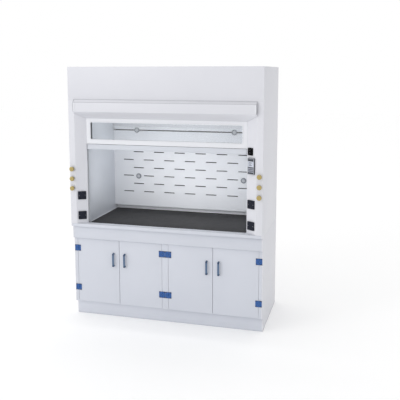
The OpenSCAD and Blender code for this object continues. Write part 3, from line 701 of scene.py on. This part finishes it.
def build_lip_trim():
    """Sealant along the folded lip's joints, and a raised cap on each end of its face."""
    low, high = span("header_lip")
    seam_z = span("header_panel")[0][2]
    rise = 25 * MM
    face_top, face_low = seam_z - rise, seam_z - rise - 85 * MM
    section = round_section(1.7 * MM, 8)
    across = np.linspace(low[0] + 2 * MM, high[0] - 2 * MM, 50)
    beads = [swept([(x, POST_FRONT, seam_z) for x in across], section),
             swept([(x, low[1] + 0.4 * MM, face_top) for x in across], section)]
    caps = []
    for end in (low[0], high[0]):
        beads.append(swept(rounded_path([(end, POST_FRONT, seam_z), (end, low[1] + 0.5 * MM, face_top),
                                         (end, low[1] + 0.5 * MM, face_low)], 4 * MM, 4),
                           round_section(2.2 * MM, 8), up=(1, 0, 0)))
        x = end - math.copysign(10 * MM, end)
        z = (face_top + face_low) / 2
        caps.append(pad(11 * MM, face_top - face_low - 8 * MM, 3 * MM, 2.2 * MM,
                        on_front(x, low[1] + 0.5 * MM, z), 1 * MM, 5))
    surface("lip_sealant", beads, "hood", SEALANT)
    surface("lip_end_caps", caps, "hood", FRAME_WHITE)


def build_weld_beads():
    """Beads along the chamber's corners and under the posts, where boards are welded."""
    side_low, side_high = span("chamber_sides")
    baffle_low, baffle_high = span("lower_baffle")
    worktop_top = span("worktop")[1][2]
    inner = baffle_high[0]
    front, back = side_low[1], baffle_low[1]
    lift = 0.0006
    beads = []
    section = round_section(4 * MM, 10)
    for sx in (-1, 1):
        x = sx * (inner - 1 * MM)
        beads.append(swept([(x, back, z) for z in np.linspace(baffle_low[2], baffle_high[2], 40)],
                           section, up=(0, 1, 0)))
        depths = np.linspace(front + 2 * MM, side_high[1], 30)
        beads.append(swept([(x, y, worktop_top + lift) for y in depths], round_section(3 * MM, 10)))
    y = side_high[1] - 1 * MM
    beads.append(swept([(x, y, worktop_top + lift) for x in np.linspace(-inner, inner, 60)],
                       round_section(3 * MM, 10)))
    surface("chamber_beads", beads, "hood", BEAD)


# ---------------------------------------------------------------- window and sash


def open_glass(pane):
    """Width, height and middle height of the part of a pane that its frame leaves open."""
    low, high = span(pane)
    return high[0] - low[0] - 2 * GLASS_LAP, high[2] - low[2] - 2 * GLASS_LAP, (low[2] + high[2]) / 2


def upright(outline, y, z):
    """An outline stood up at depth y: its x stays and its y becomes the height above z."""
    return np.stack([outline[:, 0], np.full(len(outline), y), outline[:, 1] + z], 1)


def build_window():
    """Window panel, a raised trim and a gasket round the glass, and the pane."""
    refined("window_panel", FRAME_WHITE, 1.2, 3)
    paint("window_glass", PANE)
    low, high = span("window_panel")
    width, height, centre = open_glass("window_glass")
    outline = squircle(width, height, 14 * MM, 8)
    path = upright(outline, low[1], centre)
    trim = squircle(9 * MM, 4 * MM, 1.6 * MM, 4)
    surface("window_trim", [swept(path + (0, -0.5 * MM, 0), trim, closed=True, up=(0, 1, 0))],
            "hood", FRAME_WHITE)
    seal = round_section(2.2 * MM, 8)
    inner = squircle(width - 6 * MM, height - 6 * MM, 12 * MM, 8)
    seal_path = upright(inner, high[1] - 1.5 * MM, centre)
    surface("window_gasket", [swept(seal_path, seal, closed=True, up=(0, 1, 0))], "hood", SEALANT)


def build_sash():
    """Sash frame, its pane, glazing beads, and a handle rail with a finger groove."""
    refined("sash_frame", SASH_WHITE, 1.2, 3)
    paint("sash_glass", PANE)
    low, high = span("sash_handle")
    depth, height = high[1] - low[1], high[2] - low[2]
    groove = 5 * MM
    a = np.linspace(0, math.pi, 9)
    hollow = np.stack([groove * np.sin(a), height * 0.36 * np.cos(a)], 1)
    outline = [(depth, 0), (depth, height), (4 * MM, height)]
    outline += [(1.2 * MM, height - 1.2 * MM), (0, height - 4 * MM)]
    outline += [(x, height * 0.5 + y) for x, y in hollow[1:-1]]
    outline += [(0, 4 * MM), (1.2 * MM, 1.2 * MM), (4 * MM, 0)]
    section = np.array(outline)
    xs = np.array([low[0], low[0] + 1.5 * MM, high[0] - 1.5 * MM, high[0]])
    shrink = np.array([0.94, 1, 1, 0.94])
    mid = section.mean(0)
    rows = mid + (section[None] - mid) * shrink[:, None, None]
    across = np.broadcast_to(xs[:, None], rows.shape[:2])
    points = np.stack([across, low[1] + rows[..., 0], low[2] + rows[..., 1]], -1)
    rail = surface("sash_handle_rail", [capped(points, 4, len(section))], "sash", SASH_WHITE, 35)
    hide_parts("sash_handle")
    glass_low, glass_high = span("sash_glass")
    inner_w, inner_h, centre = open_glass("sash_glass")
    loops = []
    for y in (glass_low[1] - 2 * MM, glass_high[1] + 2 * MM):
        ring = squircle(inner_w - 4 * MM, inner_h - 4 * MM, 3 * MM, 3)
        path = upright(ring, y, centre)
        loops.append(swept(path, round_section(2.2 * MM, 8), closed=True, up=(0, 1, 0)))
    surface("sash_glazing_beads", loops, "sash", RUBBER)


def build_suspension():
    """Tracks, hangers, pulleys, counterweights and wire ropes."""
    refined("sash_tracks", TRACK_WHITE, 0.4)
    refined("pulley_brackets", STEEL, 0.5)
    refined("front_pulleys", NYLON, 0.3)
    refined("rear_pulleys", NYLON, 0.3)
    for side in ("left", "right"):
        refined(f"counterweight_{side}", IRON, 2.5, 3)
    rope = 1.5 * MM

    def rope_piece(name, paths, body):
        """Round ropes carried along their paths, as one piece with a UV round each."""
        grids = [swept(p, round_section(rope, 10), up=up) for p, up in paths]
        made = surface(name, grids, body, ROPE)
        wrap_uv(made)
        return made

    lift_low, lift_high = span("lift_cables")
    weight_low, weight_high = span("weight_cables")
    over_high = span("pulley_cables")[1]
    x = lift_high[0] - rope
    rows = 60
    lift_heights = np.linspace(lift_low[2], lift_high[2], rows)
    drop_heights = np.linspace(weight_low[2], weight_high[2], rows)
    lift = [([(s * x, lift_low[1] + rope, z) for z in lift_heights], (0, 1, 0)) for s in (-1, 1)]
    drop = [([(s * x, weight_low[1] + rope, z) for z in drop_heights], (0, 1, 0)) for s in (-1, 1)]
    lift_rope = rope_piece("lift_ropes", lift, None)
    drop_rope = rope_piece("weight_ropes", drop, None)
    radius = over_high[2] - rope - lift_high[2]
    front, back = lift_low[1] + rope, weight_low[1] + rope
    turn = np.linspace(math.pi, math.pi / 2, 16)
    arc = [(0, front + radius + radius * math.cos(a), lift_high[2] + radius * math.sin(a)) for a in turn]
    arc += [(0, back - radius + radius * math.cos(a), lift_high[2] + radius * math.sin(a))
            for a in turn[::-1] - math.pi / 2]
    loops = [([(s * x, p[1], p[2]) for p in arc], (1, 0, 0)) for s in (-1, 1)]
    over_rope = rope_piece("pulley_ropes", loops, "hood")
    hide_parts("lift_cables")
    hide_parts("weight_cables")
    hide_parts("pulley_cables")
    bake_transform(lift_rope)
    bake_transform(drop_rope)


def wrap_uv(obj):
    """UV round the rope (turns) and along it (metres), from each point's place on its tube."""
    mesh = obj.data
    mesh.uv_layers.new(name="UVMap")
    points = np.zeros(len(mesh.vertices) * 3)
    mesh.vertices.foreach_get("co", points)
    points = points.reshape(-1, 3)
    normals = np.zeros(len(mesh.vertices) * 3)
    mesh.vertices.foreach_get("normal", normals)
    normals = normals.reshape(-1, 3)
    turn = np.arctan2(normals[:, 1] + normals[:, 2] * 0.7, normals[:, 0]) / (2 * math.pi)
    along = points[:, 2] + points[:, 1]
    loops = np.zeros(len(mesh.loops), int)
    mesh.loops.foreach_get("vertex_index", loops)
    mesh.uv_layers[0].data.foreach_set("uv", np.stack([turn[loops], along[loops]], 1).ravel())


# ---------------------------------------------------------------- doors


def screw_head(centre, out, radius):
    """A crossed pan head: a dome whose height drops inside two crossed bars; rings and spokes of points."""
    out = np.asarray(out, float) / np.linalg.norm(out)
    side = np.cross(out, (0, 0, 1))
    side /= np.linalg.norm(side)
    up = np.cross(side, out)
    spokes = 16
    r = np.array([1.0, 1.0, 0.9, 0.7, 0.45, 0.2]) * radius
    base = np.array([0.0, 0.25, 0.42, 0.5, 0.55, 0.57]) * radius
    a = np.linspace(0, 2 * math.pi, spokes, endpoint=False)
    u, v = r[:, None] * np.cos(a), r[:, None] * np.sin(a)
    bar = radius * 0.16
    cross = (np.minimum(abs(u), abs(v)) < bar) & (np.hypot(u, v) < 0.72 * radius)
    height = base[:, None] - cross * 0.3 * radius
    points = np.asarray(centre) + u[..., None] * side + v[..., None] * up + height[..., None] * out
    return capped(points, len(r), spokes)


def build_doors():
    """Hinges with moulded ribs, screws and dark strips along their edges as painted shade, and a straight bar
    handle on each door.
    """
    for k in range(1, 5):
        joint = JOINTS[f"door_{k}_hinge"]
        pivot = np.array(joint["pos_m"])
        low, high = span(f"door_{k}")
        turn = 1 if (low[0] + high[0]) / 2 > pivot[0] else -1
        fit_low, fit_high = span(f"door_{k}_fittings")

        def hinge_side(centre, pivot=pivot):
            """Whether a loose part of the fittings belongs to the hinge."""
            return abs(centre[0] - pivot[0]) < 40 * MM

        refined(f"door_{k}_fittings", BLUE, 0.5, 2, hinge_side, f"door_{k}_hinge_leaves")
        far_x = fit_high[0] if turn > 0 else fit_low[0]
        handle_x = far_x - turn * 10 * MM
        door_front = low[1]
        middle_z = handle_middle(k)
        reach = door_front - fit_low[1]
        bar_y = door_front - reach + 4.5 * MM
        path = rounded_path([
            (handle_x, door_front + 0.5 * MM, middle_z - 58 * MM), (handle_x, bar_y, middle_z - 60 * MM),
            (handle_x, bar_y, middle_z + 60 * MM), (handle_x, door_front + 0.5 * MM, middle_z + 58 * MM)],
            9 * MM, 8)
        bow = swept(path, squircle(9 * MM, 17 * MM, 3.6 * MM, 6), up=(1, 0, 0))
        handle = surface(f"door_{k}_handle", [bow], f"door_{k}", SLATE_BLUE, 50)
        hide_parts(f"door_{k}_fittings")
        dome = metres([(7.2, -1), (7.2, 0.8), (6.4, 1.6), (3.6, 2.0), (1, 2.1)])
        foot = metres([(8.4, 0), (8.4, 1.6), (7.6, 2.4), (5, 2.8)])
        ends = []
        for s in (-1, 1):
            ends.append(turned(dome, (handle_x, bar_y - 4.2 * MM, middle_z + s * 55 * MM), (0, -1, 0), 28))
            ends.append(turned(foot, (handle_x, door_front, middle_z + s * 58 * MM), (0, -1, 0), 32))
        surface(f"door_{k}_handle_caps", ends, f"door_{k}", DEEP_BLUE, 50)
        leaf_front = pivot[1] + 4 * MM - 2.5 * MM
        door_screws_and_shade_strips, frame_screws_and_shade_strips, door_ribs, frame_ribs = [], [], [], []
        for z in hinge_heights(k):
            for sz in (-1, 1):
                for own, screws in ((turn, door_screws_and_shade_strips), (-turn, frame_screws_and_shade_strips)):
                    spot = (pivot[0] + own * 23 * MM, leaf_front, z + sz * 21 * MM)
                    screws.append(screw_head(spot, (0, -1, 0), 4 * MM))
                    # dark strips along each leaf's top and bottom edge: painted shade at the edges
                    edge_x = pivot[0] + own * 18 * MM
                    edge_z = z + sz * 27 * MM
                    place = on_front(edge_x, leaf_front + 0.2 * MM, edge_z)
                    screws.append(pad(22 * MM, 4.4 * MM, 1 * MM, 1.2 * MM, place, 0.4 * MM, 3))
            for own, ribs in ((turn, door_ribs), (-turn, frame_ribs)):
                for step in range(4):
                    x = pivot[0] + own * (8 + 5 * step) * MM
                    place = on_front(x, leaf_front + 0.2 * MM, z)
                    ribs.append(pad(2.4 * MM, 26 * MM, 1 * MM, 1.4 * MM, place, 0.5 * MM, 3))
        surface(f"door_{k}_screws", door_screws_and_shade_strips, f"door_{k}", DEEP_BLUE)
        surface(f"door_{k}_frame_screws_and_shade_strips", frame_screws_and_shade_strips, "hood", DEEP_BLUE)
        surface(f"door_{k}_hinge_ribs", door_ribs, f"door_{k}", BLUE)
        surface(f"door_{k}_frame_ribs", frame_ribs, "hood", BLUE)
    refined("hinge_frame_leaves", BLUE, 0.5)


def hinge_heights(k):
    """Heights of a door's two hinges, from the frame leaves' box: they are 58 mm tall."""
    low, high = span("hinge_frame_leaves")
    half = 29 * MM
    return low[2] + half, high[2] - half


def handle_middle(k):
    """Height of a handle's middle: the mean over the fittings' loose parts more than 100 mm from the
    hinge's axis, because the same node holds the hinge leaves too."""
    pivot = JOINTS[f"door_{k}_hinge"]["pos_m"][0]
    centres = part_centres(f"door_{k}_fittings")
    return float(np.mean([c[2] for c in centres if abs(c[0] - pivot) > 100 * MM]))


# ---------------------------------------------------------------- baffle buttons


def build_baffle_buttons():
    """Headed spacers: a dark flange with a paler domed cap, and the shank behind."""
    baffle_low, baffle_high = span("lower_baffle")
    face = baffle_low[1]
    shank_end = span("baffle_buttons")[1][1] / MM - face / MM
    baffle_back = baffle_high[1] / MM - face / MM
    flanges, caps = [], []
    for c in part_centres("baffle_buttons"):
        p = (c[0], face, c[2])
        head = [(5, shank_end), (10, shank_end), (10, baffle_back), (5, baffle_back), (5, 0), (27, 0),
                (27, -4.5), (26, -5.8), (24, -6.5), (17.5, -6.8), (16.5, -6.2), (16.2, -5)]
        flanges.append(turned([(r * MM, -h * MM) for r, h in head], p, (0, -1, 0), 48))
        cap = [(16, 4.6), (15.6, 6.0), (14, 6.8), (10, 7.0), (5, 6.9), (1, 6.8)]
        caps.append(turned(metres(cap), p, (0, -1, 0), 40))
    ring = surface("baffle_button_flanges", flanges, "hood", BUTTON_GREY)
    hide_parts("baffle_buttons")
    surface("baffle_button_caps", caps, "hood", BUTTON_PALE)


# ---------------------------------------------------------------- valves


def build_valves():
    """Fluted knobs, each a turned form whose radius dips at twelve grooves, with a domed insert."""
    refined("valve_bodies", STEEL, 0.4)
    for k in range(1, 7):
        low, high = span(f"valve_knob_{k}")
        x, z = (low[0] + high[0]) / 2, (low[2] + high[2]) / 2
        front, back = low[1], high[1]
        length = (back - front) / MM
        rows = [(4, 0.6), (9, 0.2), (13, 0), (18, 0.2), (20.6, 1.4), (22, 3.2), (22.4, 5.5), (22.4, 10.5),
                (21.8, 12.8), (19.6, 14.4), (15.5, 15), (14.2, 16), (13.9, 18), (13.9, length - 0.6),
                (13.4, length), (4.06, length), (4.06, 8), (3.2, 7.5)]
        weight = np.array([0, 0, 0, 0.1, 0.7, 1, 1, 1, 1, 0.7, 0.15, 0, 0, 0, 0, 0, 0, 0])

        def flutes(angle, row, weight=weight):
            """Twelve round grooves: the radius dips by a power of a cosine."""
            return 1 - 0.11 * weight[row] * (0.5 + 0.5 * np.cos(12 * angle)) ** 2

        knob = turned(metres(rows), (x, front, z), (0, 1, 0), 144, flutes)
        grip = surface(f"valve_grip_{k}", [knob], f"knob_{k}", GOLD, 30)
        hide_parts(f"valve_knob_{k}")
        disc = [(1, -0.9), (6, -0.7), (10.5, -0.1), (12, 0.7), (12, 1.2)]
        insert = turned(metres(disc), (x, front + 0.9 * MM, z), (0, 1, 0), 40)
        surface(f"valve_insert_{k}", [insert], f"knob_{k}", GOLD_INSERT)
        place = on_front(x, front + 0.3 * MM, z + 16.5 * MM)
        surface(f"valve_pointer_{k}", [pad(2 * MM, 6 * MM, 0.9 * MM, 0.8 * MM, place, 0.3 * MM, 3)],
                f"knob_{k}", MARK_WHITE)


# ---------------------------------------------------------------- sockets, switch and controller


def bevel_point(side, u, z, out):
    """A point on a post's slanted face: u along it, at height z, out of it."""
    low, high = span("post_right")
    open_x = low[0]
    edge_x = high[0] - POST_FLAT
    angle = math.atan2(POST_BEVEL_DEPTH, edge_x - open_x)
    mid_x, mid_y = (open_x + edge_x) / 2, low[1] + POST_BEVEL_DEPTH / 2
    c, s = math.cos(angle), math.sin(angle)
    x = mid_x + u * c - out * s
    y = mid_y - u * s - out * c
    return np.stack(np.broadcast_arrays(side * x, y, z), -1)


def on_bevel(side, height, shift, base):
    """A place() for pad(): slab points onto a post's slanted face, mirrored on the left."""
    def place(u, v, out):
        """Shift, height and base are added before the point goes onto the slanted face."""
        return bevel_point(side, u + shift, v + height, out + base)
    return place


def bevel_out(side):
    """Unit vector out of a post's slanted face."""
    a = bevel_point(side, 0.0, 0.0, 0.0)
    b = bevel_point(side, 0.0, 0.0, 1.0)
    return b - a


def bevel_loop(side, outline, u, z, out, section):
    """A section carried round an outline that lies on a post's slanted face about (u, z)."""
    path = bevel_point(side, u + outline[:, 0], z + outline[:, 1], out)
    return swept(path, section, closed=True, up=tuple(bevel_out(side)))


def build_sockets():
    """Square sockets: eased plates, a rim round the well, two screws and dark pin holes."""
    refined("socket_outlets", NAVY, 0.8, 3)
    low, high = span("socket_outlets")
    plate = 9 * MM
    half = 37.5 * MM
    heights = (low[2] + half, high[2] - half)
    rims, screws, frames = [], [], []
    for side in (-1, 1):
        out = bevel_out(side)
        for z in heights:
            centre = bevel_point(side, 0.0, z, plate)
            rim = [(19.6, -6), (19.6, 0.2), (20.4, 1.2), (22, 1.5), (23.4, 1.0), (23.8, 0)]
            rims.append(turned(metres(rim), centre, out, 48))
            ring = squircle(66 * MM, 66 * MM, 6 * MM, 5)
            frames.append(bevel_loop(side, ring, 0.0, z, plate, round_section(1.0 * MM, 8)))
            for u in (-28, 28):
                spot = bevel_point(side, u * MM, z, plate - 0.2 * MM)
                screws.append(screw_head(spot, out, 2.6 * MM))
    surface("socket_rims", rims, "hood", NAVY)
    surface("socket_borders", frames, "hood", NAVY)
    surface("socket_screws", screws, "hood", STEEL)


def build_controller():
    """Controller: a pale bezel round dark bands, a display with bar figures, and a grid of keys."""
    refined("control_panel", PANEL_DARK, 1.2, 3)
    low, high = span("control_panel")
    middle_z = (low[2] + high[2]) / 2
    paint("control_screen", DISPLAY)
    screen_low, screen_high = span("control_screen")
    screen_z = (screen_low[2] + screen_high[2]) / 2
    front, screen_front = 14 * MM, 13 * MM
    wide, tall = 72 * MM, high[2] - low[2]
    ring = squircle(wide - 5 * MM, tall - 5 * MM, 5 * MM, 6)
    bezel = bevel_loop(1, ring, 0.0, middle_z, front, squircle(3.4 * MM, 2.4 * MM, 0.9 * MM, 3))
    surface("controller_bezel", [bezel], "hood", BEZEL_GREY)
    window = squircle(61 * MM, 47 * MM, 2 * MM, 4)
    rim = bevel_loop(1, window, 0.0, screen_z, front, squircle(2.6 * MM, 2.0 * MM, 0.7 * MM, 3))
    surface("controller_screen_rim", [rim], "hood", BEZEL_GREY)
    keys = []
    for row in range(3):
        for column in range(4):
            u, v = (column - 1.5) * 15 * MM, screen_z - 38 * MM - row * 14 * MM
            place = on_bevel(1, v, u, front - 0.2 * MM)
            keys.append(pad(11.5 * MM, 10 * MM, 2.2 * MM, 1.8 * MM, place, 0.6 * MM, 4))
    surface("controller_keys", keys, "hood", KEY_GREY)
    bars = []
    for index, share in enumerate((0.9, 0.6, 0.75)):
        length = 44 * MM * share
        v = screen_z + (12 - 11 * index) * MM
        bars.append(pad(length, 4.5 * MM, 0.8 * MM, 0.5 * MM,
                        on_bevel(1, v, -22 * MM + length / 2, screen_front - 0.1 * MM), 0.15 * MM, 3))
    surface("controller_figures", bars, "hood", PANEL_DARK)
    dome = metres([(2.4, 0), (2.4, 0.8), (1.6, 1.6), (0.4, 1.9)])
    lamp_z = middle_z + tall / 2 - 12 * MM
    lamps = [turned(dome, bevel_point(1, u * MM, lamp_z, front), bevel_out(1), 20) for u in (-20, -8, 4, 16)]
    surface("controller_lamps", lamps, "hood", KEY_GREY)


def build_switch():
    """Power switch: plate with a rim, and a rocker with a bar and a ring moulded on it."""
    refined("switch_plate", ROCKER_BLACK, 0.7, 3)
    refined("power_rocker", ROCKER_BLACK, 0.5, 2)
    low, high = span("power_rocker")
    z = (low[2] + high[2]) / 2
    shift = -13 * MM
    rocker_front, plate_front = 10.3 * MM, 8 * MM
    place = on_bevel(1, z + 10 * MM, shift, rocker_front)
    marks = [pad(1.6 * MM, 7 * MM, 0.7 * MM, 0.5 * MM, place, 0.2 * MM, 3)]
    ring = round_section(3 * MM, 28)
    marks.append(bevel_loop(1, ring, shift, z - 10 * MM, rocker_front, round_section(0.5 * MM, 6)))
    surface("rocker_marks", marks, "rocker", KEY_GREY)
    edge = squircle(30 * MM, 41 * MM, 2 * MM, 4)
    rim = bevel_loop(1, edge, shift, z, plate_front, round_section(0.9 * MM, 8))
    surface("switch_rim", [rim], "hood", ROCKER_BLACK)


build_casing()
build_lip_trim()
build_weld_beads()
build_window()
build_sash()
build_suspension()
build_doors()
build_baffle_buttons()
build_valves()
build_sockets()
build_controller()
build_switch()


# ---------------------------------------------------------------- stage


def shade_room(tree):
    """A white surround whose light eases off on the +X side, so that the right flank falls into shade."""
    split = add(tree, "SeparateXYZ")
    tree.links.new(add(tree, "TexCoord").outputs["Generated"], split.inputs[0])
    turned_right = maths(tree, "MULTIPLY", maths(tree, "SUBTRACT", split.outputs["X"], 0.35), 2.2, clamp=True)
    lit = maths(tree, "SUBTRACT", 1.0, maths(tree, "MULTIPLY", turned_right, 0.37))
    strength = maths(tree, "MAXIMUM", lit, add(tree, "LightPath").outputs["Is Camera Ray"])
    tree.nodes["Background"].inputs["Color"].default_value = (1.0, 1.0, 1.0, 1)
    tree.links.new(strength, tree.nodes["Background"].inputs["Strength"])


def build_stage():
    """A pale floor, a pale surround, soft lights and the camera."""
    floor_mesh = bpy.data.meshes.new("floor")
    reach = 30.0
    corners = [(-reach, -reach, 0), (reach, -reach, 0), (reach, reach, 0), (-reach, reach, 0)]
    floor_mesh.from_pydata(corners, [], [(0, 1, 2, 3)])
    floor = linked("floor", floor_mesh)
    floor.location.z = -0.0005
    made, _, shader = start_material("Pale floor", 0.9)
    shader.inputs["Base Color"].default_value = (0.95, 0.95, 0.95, 1)
    shader.inputs["Emission Color"].default_value = (1.0, 1.0, 1.0, 1)
    shader.inputs["Emission Strength"].default_value = 0.10
    floor.data.materials.append(made)

    world = bpy.data.worlds.new("Pale room")
    world.use_nodes = True
    shade_room(world.node_tree)
    bpy.context.scene.world = world
    bpy.context.scene.view_settings.view_transform = "Standard"

    def lamp(name, place, aim, wide, tall, power):
        """A rectangular light that shines along its own -Z, so its +Z is turned away from the aim."""
        data = bpy.data.lights.new(name, "AREA")
        data.shape = "RECTANGLE"
        data.size, data.size_y = wide, tall
        data.energy = power
        obj = linked(name, data)
        obj.location = place
        obj.rotation_mode = "QUATERNION"
        obj.rotation_quaternion = (Vector(place) - Vector(aim)).to_track_quat("Z", "Y")

    lamp("key", (-6.2, -6.2, 4.0), (0, 0, 1.3), 3.4, 3.4, 112)
    lamp("hood lamp", (0, -0.2, 2.0), (0, 0.2, 1.0), 1.3, 0.12, 2.7)
    lamp("chamber fill", (0, -0.32, 1.25), (0, 0.3, 1.25), 1.3, 0.5, 1.7)

    data = bpy.data.cameras.new("camera")
    data.lens = 55.24
    data.sensor_width = 36
    data.shift_y = -0.115
    camera = linked("camera", data)
    camera.location = (1.7174, -5.5286, 2.2897)
    camera.rotation_euler = (math.radians(90) - 0.1304, 0, 0.2626)
    bpy.context.scene.camera = camera


build_stage()
